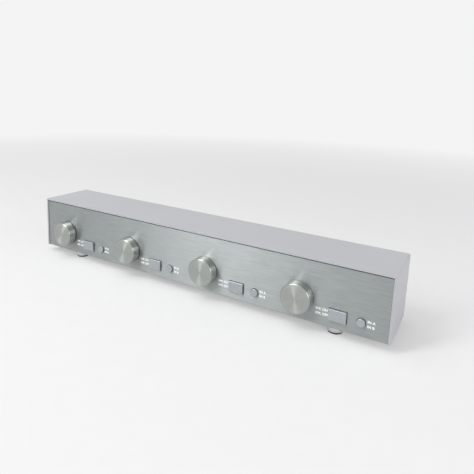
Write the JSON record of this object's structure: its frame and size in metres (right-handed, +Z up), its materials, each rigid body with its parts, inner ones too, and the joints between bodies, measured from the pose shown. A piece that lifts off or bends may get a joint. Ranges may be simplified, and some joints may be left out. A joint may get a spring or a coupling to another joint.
{
  "type": "speaker selector switch",
  "caption": "Wide, low speaker selector with volume knobs, zone and source push buttons on a brushed front, screw terminal blocks behind and round feet.",
  "frame": {"origin": "on the resting plane, under the middle of the whole selector, knobs and terminals included", "axes": "+X along the case to the right as seen from the front, -Y towards the front panel, +Z up"},
  "size_m": [0.43, 0.086, 0.07],
  "materials": {
    "brushed_aluminium": "horizontally brushed, clear anodised",
    "satin_aluminium": "satin silver paint over aluminium sheet",
    "turned_aluminium": "turned face, fine side, clear anodised",
    "silver_button": "silver lacquer",
    "foot_silver": "silver lacquer",
    "black_rubber": "matt",
    "zinc_plated_steel": "zinc plate",
    "zinc_screw": "zinc plate",
    "nickel_plate": "nickel plate",
    "switch_housing": "moulded plastic",
    "circuit_board": "green solder mask",
    "lamination_steel": "varnished laminations",
    "coil_tape": "yellow polyester tape",
    "terminal_black": "black moulded plastic"
  },
  "bodies": {
    "case": {"chassis_tray": "zinc_plated_steel", "top_cover": "satin_aluminium", "front_panel": "brushed_aluminium", "rear_panel": "satin_aluminium", "bushing_washers": "nickel_plate", "bushing_nuts": "nickel_plate", "autoformer_straps": "zinc_plated_steel", "front_board": "circuit_board", "terminal_board": "circuit_board", "case_screws": "zinc_screw", "foot_screws": "zinc_screw", "terminal_screws": "nickel_plate", "foot_pads": "black_rubber", "volume_switch_1": "switch_housing", "zone_switch_1": "switch_housing", "source_switch_1": "switch_housing", "autoformer_core_1": "lamination_steel", "autoformer_coil_1": "coil_tape", "volume_switch_2": "switch_housing", "zone_switch_2": "switch_housing", "source_switch_2": "switch_housing", "autoformer_core_2": "lamination_steel", "autoformer_coil_2": "coil_tape", "volume_switch_3": "switch_housing", "zone_switch_3": "switch_housing", "source_switch_3": "switch_housing", "autoformer_core_3": "lamination_steel", "autoformer_coil_3": "coil_tape", "volume_switch_4": "switch_housing", "zone_switch_4": "switch_housing", "source_switch_4": "switch_housing", "autoformer_core_4": "lamination_steel", "autoformer_coil_4": "coil_tape", "input_terminal_a": "terminal_black", "input_terminal_b": "terminal_black", "zone_terminal_1": "terminal_black", "zone_terminal_2": "terminal_black", "zone_terminal_3": "terminal_black", "zone_terminal_4": "terminal_black", "foot_front_left": "foot_silver", "foot_front_right": "foot_silver", "foot_rear_left": "foot_silver", "foot_rear_right": "foot_silver"},
    "volume_knob_1": {"knob_1": "turned_aluminium", "volume_shaft_1": "nickel_plate"},
    "zone_key_1": {"zone_button_1": "silver_button"},
    "source_key_1": {"source_button_1": "silver_button"},
    "volume_knob_2": {"knob_2": "turned_aluminium", "volume_shaft_2": "nickel_plate"},
    "zone_key_2": {"zone_button_2": "silver_button"},
    "source_key_2": {"source_button_2": "silver_button"},
    "volume_knob_3": {"knob_3": "turned_aluminium", "volume_shaft_3": "nickel_plate"},
    "zone_key_3": {"zone_button_3": "silver_button"},
    "source_key_3": {"source_button_3": "silver_button"},
    "volume_knob_4": {"knob_4": "turned_aluminium", "volume_shaft_4": "nickel_plate"},
    "zone_key_4": {"zone_button_4": "silver_button"},
    "source_key_4": {"source_button_4": "silver_button"}
  },
  "joints": [
    {"name": "knob_1_turn", "type": "hinge", "parent": "case", "child": "volume_knob_1", "pos_m": [-0.1775, -0.039, 0.0308], "axis": [0, 1, 0], "range_deg": [-150, 150]},
    {"name": "zone_button_1_press", "type": "slide", "parent": "case", "child": "zone_key_1", "axis": [0, 1, 0], "range_m": [0, 0.0025], "stiffness_N_per_m": 350, "springref_m": -0.003},
    {"name": "source_button_1_press", "type": "slide", "parent": "case", "child": "source_key_1", "axis": [0, 1, 0], "range_m": [0, 0.0025], "stiffness_N_per_m": 300, "springref_m": -0.003},
    {"name": "knob_2_turn", "type": "hinge", "parent": "case", "child": "volume_knob_2", "pos_m": [-0.0745, -0.039, 0.0308], "axis": [0, 1, 0], "range_deg": [-150, 150]},
    {"name": "zone_button_2_press", "type": "slide", "parent": "case", "child": "zone_key_2", "axis": [0, 1, 0], "range_m": [0, 0.0025], "stiffness_N_per_m": 350, "springref_m": -0.003},
    {"name": "source_button_2_press", "type": "slide", "parent": "case", "child": "source_key_2", "axis": [0, 1, 0], "range_m": [0, 0.0025], "stiffness_N_per_m": 300, "springref_m": -0.003},
    {"name": "knob_3_turn", "type": "hinge", "parent": "case", "child": "volume_knob_3", "pos_m": [0.0285, -0.039, 0.0308], "axis": [0, 1, 0], "range_deg": [-150, 150]},
    {"name": "zone_button_3_press", "type": "slide", "parent": "case", "child": "zone_key_3", "axis": [0, 1, 0], "range_m": [0, 0.0025], "stiffness_N_per_m": 350, "springref_m": -0.003},
    {"name": "source_button_3_press", "type": "slide", "parent": "case", "child": "source_key_3", "axis": [0, 1, 0], "range_m": [0, 0.0025], "stiffness_N_per_m": 300, "springref_m": -0.003},
    {"name": "knob_4_turn", "type": "hinge", "parent": "case", "child": "volume_knob_4", "pos_m": [0.1315, -0.039, 0.0308], "axis": [0, 1, 0], "range_deg": [-150, 150]},
    {"name": "zone_button_4_press", "type": "slide", "parent": "case", "child": "zone_key_4", "axis": [0, 1, 0], "range_m": [0, 0.0025], "stiffness_N_per_m": 350, "springref_m": -0.003},
    {"name": "source_button_4_press", "type": "slide", "parent": "case", "child": "source_key_4", "axis": [0, 1, 0], "range_m": [0, 0.0025], "stiffness_N_per_m": 300, "springref_m": -0.003}
  ]
}
